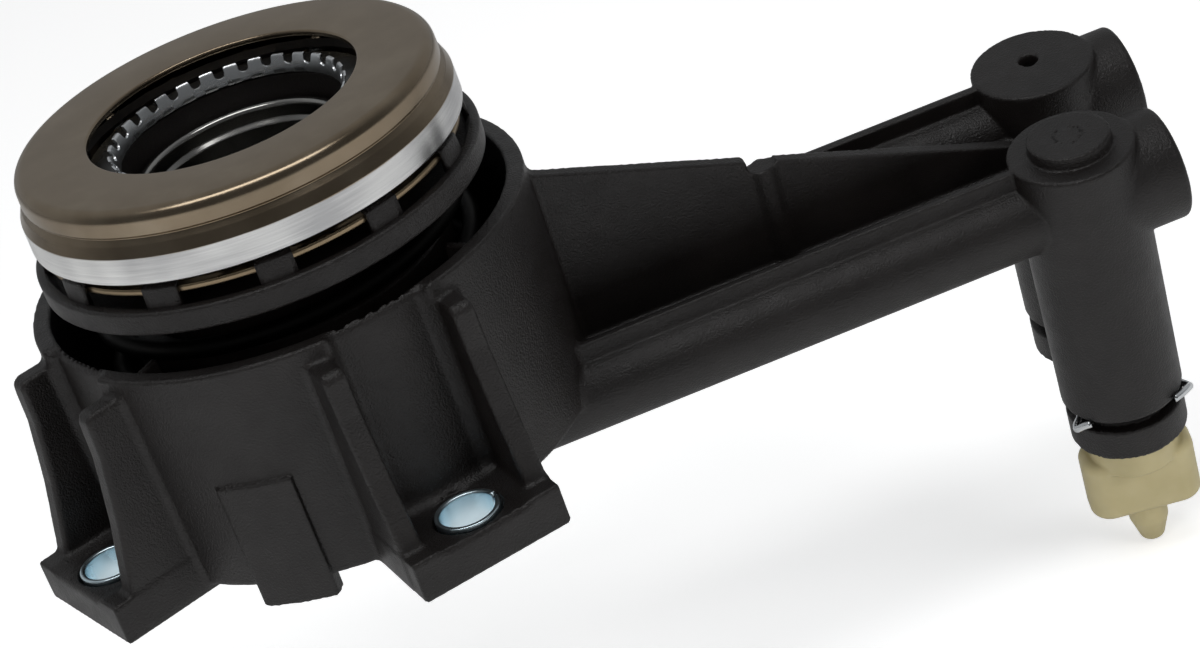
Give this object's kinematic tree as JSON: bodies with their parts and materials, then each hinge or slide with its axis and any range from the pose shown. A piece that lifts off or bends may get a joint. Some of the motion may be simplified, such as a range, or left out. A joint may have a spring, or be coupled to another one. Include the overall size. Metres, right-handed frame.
{
  "type": "concentric slave cylinder",
  "caption": "Black plastic clutch slave cylinder: a footed cup with a steel release bearing on top, and a long arm of two pipes ending in downward ports, one closed by a tan bleed screw.",
  "frame": {"origin": "on the cylinder's axis, in the plane of the undersides of the three feet", "axes": "+Z along the cylinder's axis, from the feet towards the release bearing; +X along the arm of pipes, towards the risers"},
  "size_m": [0.1696, 0.0931, 0.1189],
  "materials": {
    "black_nylon": "moulded, satin, fine grain",
    "zinc_plated_steel": "bright zinc plate",
    "drawn_steel": "drawn, smooth",
    "hardened_steel": "dark bronze temper colour with a ground band",
    "polished_steel": "polished",
    "spring_steel": "oiled, dark",
    "seal_rubber": "matt",
    "cage_nylon": "natural",
    "tan_acetal": "moulded, satin"
  },
  "bodies": {
    "housing": {"housing": "black_nylon", "bolt_sleeve_1": "zinc_plated_steel", "bolt_sleeve_2": "zinc_plated_steel", "bolt_sleeve_3": "zinc_plated_steel", "guide_tube": "drawn_steel", "tube_seal": "seal_rubber", "preload_spring": "spring_steel", "bleed_clip": "zinc_plated_steel", "feed_clip": "zinc_plated_steel", "bleed_gallery_plug": "black_nylon", "feed_gallery_plug": "black_nylon"},
    "piston": {"piston": "black_nylon", "piston_seal": "seal_rubber", "bearing_carrier": "black_nylon", "inner_race": "hardened_steel", "toothed_ring": "zinc_plated_steel"},
    "ball_cage": {"ball_cage": "cage_nylon", "ball_01": "polished_steel", "ball_02": "polished_steel", "ball_03": "polished_steel", "ball_04": "polished_steel", "ball_05": "polished_steel", "ball_06": "polished_steel", "ball_07": "polished_steel", "ball_08": "polished_steel", "ball_09": "polished_steel", "ball_10": "polished_steel", "ball_11": "polished_steel", "ball_12": "polished_steel", "ball_13": "polished_steel", "ball_14": "polished_steel"},
    "thrust_ring": {"thrust_ring": "hardened_steel"},
    "bleed_screw": {"bleed_screw": "tan_acetal", "bleed_seal": "seal_rubber"}
  },
  "joints": [
    {"name": "piston_slide", "type": "slide", "parent": "housing", "child": "piston", "axis": [0, 0, 1], "range_m": [-0.0048, 0.013], "deforming": ["preload_spring"]},
    {"name": "bearing_spin", "type": "hinge", "parent": "piston", "child": "thrust_ring", "pos_m": [0, 0, 0.0492], "axis": [0, 0, 1], "continuous": true},
    {"name": "cage_spin", "type": "hinge", "parent": "piston", "child": "ball_cage", "pos_m": [0, 0, 0.0492], "axis": [0, 0, 1], "continuous": true},
    {"name": "bleed_turn", "type": "hinge", "parent": "housing", "child": "bleed_screw", "pos_m": [0.1061, -0.00655, -0.04115], "axis": [0, -0.1188, 0.9929], "range_deg": [0, 180]}
  ],
  "couplings": [
    {"joint": "cage_spin", "follows": "bearing_spin", "ratio": 0.546}
  ]
}
